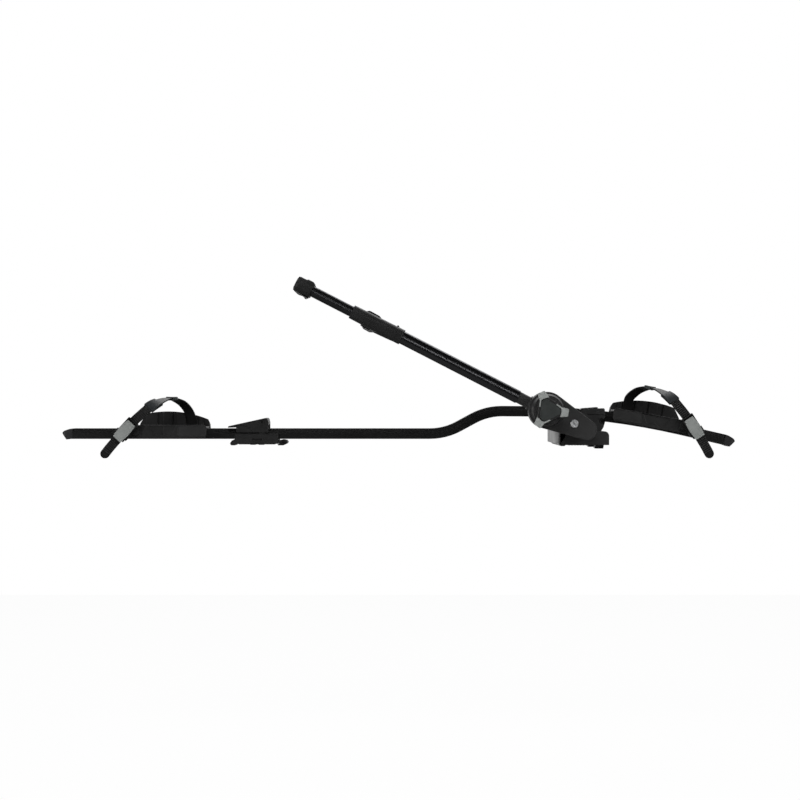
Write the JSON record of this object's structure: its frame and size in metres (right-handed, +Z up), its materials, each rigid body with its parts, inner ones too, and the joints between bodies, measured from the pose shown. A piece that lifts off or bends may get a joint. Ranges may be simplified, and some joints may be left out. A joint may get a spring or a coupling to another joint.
{
  "type": "roof bike carrier",
  "caption": "Roof bike carrier: a bent rail on crossbar feet, wheel cradles with ladder straps, and a folding arm whose jaws a dial tightens on the frame.",
  "frame": {"origin": "middle of the front foot's bar seat, on top of the crossbar", "axes": "+X along the rail to the front wheel end, +Z up, -Y the side of the dial and the arm"},
  "size_m": [1.4488, 0.3202, 0.3896],
  "materials": {
    "black_aluminium": "black powder coat",
    "black_tube": "black anodised, satin",
    "black_plastic": "fine moulded grain",
    "foot_plastic": "fine moulded grain",
    "housing_plastic": "fine moulded grain",
    "grey_plastic": "satin",
    "keeper_plastic": "satin",
    "label": "satin, bare",
    "rubber": "matt",
    "rim_pad": "matt",
    "strap": "satin",
    "steel": "zinc plated",
    "black_steel": "black paint",
    "brass": "machined",
    "lock_metal": "satin chrome"
  },
  "bodies": {
    "rail_body": {"rail": "black_aluminium", "rail_end_cap_rear": "black_plastic", "rail_end_cap_front": "black_plastic", "front_foot_base": "foot_plastic", "front_bar_pad": "rubber", "rail_bracket": "foot_plastic", "bracket_cover": "foot_plastic", "bracket_bolt": "black_steel", "arm_pivot_shaft": "steel", "front_cradle": "black_plastic", "front_label_insert": "label", "front_cradle_bolts": "steel", "front_rail_nuts": "steel", "front_strap": "strap", "front_rim_pad": "rim_pad", "front_strap_keeper": "keeper_plastic", "front_buckle_frame": "black_plastic", "front_buckle_pin": "steel"},
    "front_claw": {"front_bar_claw": "black_steel"},
    "front_clamp": {"front_clamp_bolt": "steel"},
    "rear_foot": {"rear_saddle": "black_plastic", "rear_bar_pad": "rubber", "rear_glider": "steel", "rear_lever_pin": "steel"},
    "quick_lever": {"rear_lever": "black_plastic"},
    "rear_claw": {"rear_bar_claw": "black_plastic", "rear_claw_screw": "steel"},
    "rear_wheel_cradle": {"rear_cradle": "black_plastic", "rear_label_insert": "label", "rear_cradle_bolts": "steel", "rear_rail_nuts": "steel", "rear_strap": "strap", "rear_rim_pad": "rim_pad", "rear_strap_keeper": "keeper_plastic", "rear_buckle_frame": "black_plastic", "rear_buckle_pin": "steel"},
    "front_buckle": {"front_buckle_lever": "grey_plastic"},
    "rear_buckle": {"rear_buckle_lever": "grey_plastic"},
    "arm": {"arm_outer_housing": "housing_plastic", "arm_inner_housing": "housing_plastic", "housing_screws": "steel", "main_tube": "black_tube", "lower_jaw": "black_plastic", "lower_jaw_pad": "rubber", "lock_barrel": "lock_metal"},
    "lock": {"lock_core": "lock_metal"},
    "dial": {"dial_body": "black_plastic", "dial_face": "housing_plastic", "dial_tabs": "grey_plastic", "dial_shaft": "steel"},
    "screw": {"drive_screw": "steel"},
    "sliding_jaw": {"inner_tube": "black_tube", "travel_nut": "brass", "upper_jaw": "black_plastic", "upper_jaw_pad": "rubber"}
  },
  "joints": [
    {"name": "front_clamp_turn", "type": "hinge", "parent": "rail_body", "child": "front_clamp", "pos_m": [0.046, 0.096, 0], "axis": [0, 0, 1], "range_deg": [0, 4325]},
    {"name": "front_claw_slide", "type": "slide", "parent": "rail_body", "child": "front_claw", "axis": [0, 0, 1], "range_m": [-0.012, 0]},
    {"name": "rear_foot_slide", "type": "slide", "parent": "rail_body", "child": "rear_foot", "axis": [1, 0, 0], "range_m": [-0.015, 0.25]},
    {"name": "quick_lever_hinge", "type": "hinge", "parent": "rear_foot", "child": "quick_lever", "pos_m": [-0.68, 0, 0.0495], "axis": [0, 1, 0], "range_deg": [0, 100]},
    {"name": "rear_claw_slide", "type": "slide", "parent": "rear_foot", "child": "rear_claw", "axis": [1, 0, 0], "range_m": [0, 0.0145]},
    {"name": "rear_cradle_slide", "type": "slide", "parent": "rail_body", "child": "rear_wheel_cradle", "axis": [1, 0, 0], "range_m": [-0.1, 0.02]},
    {"name": "front_buckle_hinge", "type": "hinge", "parent": "rail_body", "child": "front_buckle", "pos_m": [0.23114, -0.0666, 0.05384], "axis": [-0.8406, 0, -0.5417], "range_deg": [0, 65]},
    {"name": "rear_buckle_hinge", "type": "hinge", "parent": "rear_wheel_cradle", "child": "rear_buckle", "pos_m": [-0.95686, -0.0666, 0.04483], "axis": [-0.7314, 0, 0.682], "range_deg": [0, 65]},
    {"name": "arm_swing", "type": "hinge", "parent": "rail_body", "child": "arm", "pos_m": [0.01, -0.105, 0.028], "axis": [0, 1, 0], "range_deg": [-23, 52]},
    {"name": "lock_turn", "type": "hinge", "parent": "arm", "child": "lock", "pos_m": [-0.01873, -0.105, 0.04692], "axis": [0, 1, 0], "range_deg": [0, 90]},
    {"name": "dial_turn", "type": "hinge", "parent": "arm", "child": "dial", "pos_m": [-0.07548, -0.105, 0.07497], "axis": [0, 1, 0], "range_deg": [0, 4805]},
    {"name": "screw_turn", "type": "hinge", "parent": "arm", "child": "screw", "pos_m": [0.01, -0.105, 0.028], "axis": [-0.8894, 0, 0.4571], "range_deg": [0, 9610]},
    {"name": "jaw_slide", "type": "slide", "parent": "arm", "child": "sliding_jaw", "axis": [-0.8894, 0, 0.4571], "range_m": [-0.08, 0]}
  ],
  "couplings": [
    {"joint": "front_clamp_turn", "follows": "front_claw_slide", "rad_per_m": -6283.2},
    {"joint": "rear_claw_slide", "follows": "quick_lever_hinge", "m_per_rad": 0.008},
    {"joint": "dial_turn", "follows": "jaw_slide", "rad_per_m": -1047.2},
    {"joint": "screw_turn", "follows": "jaw_slide", "rad_per_m": -2094.4}
  ]
}
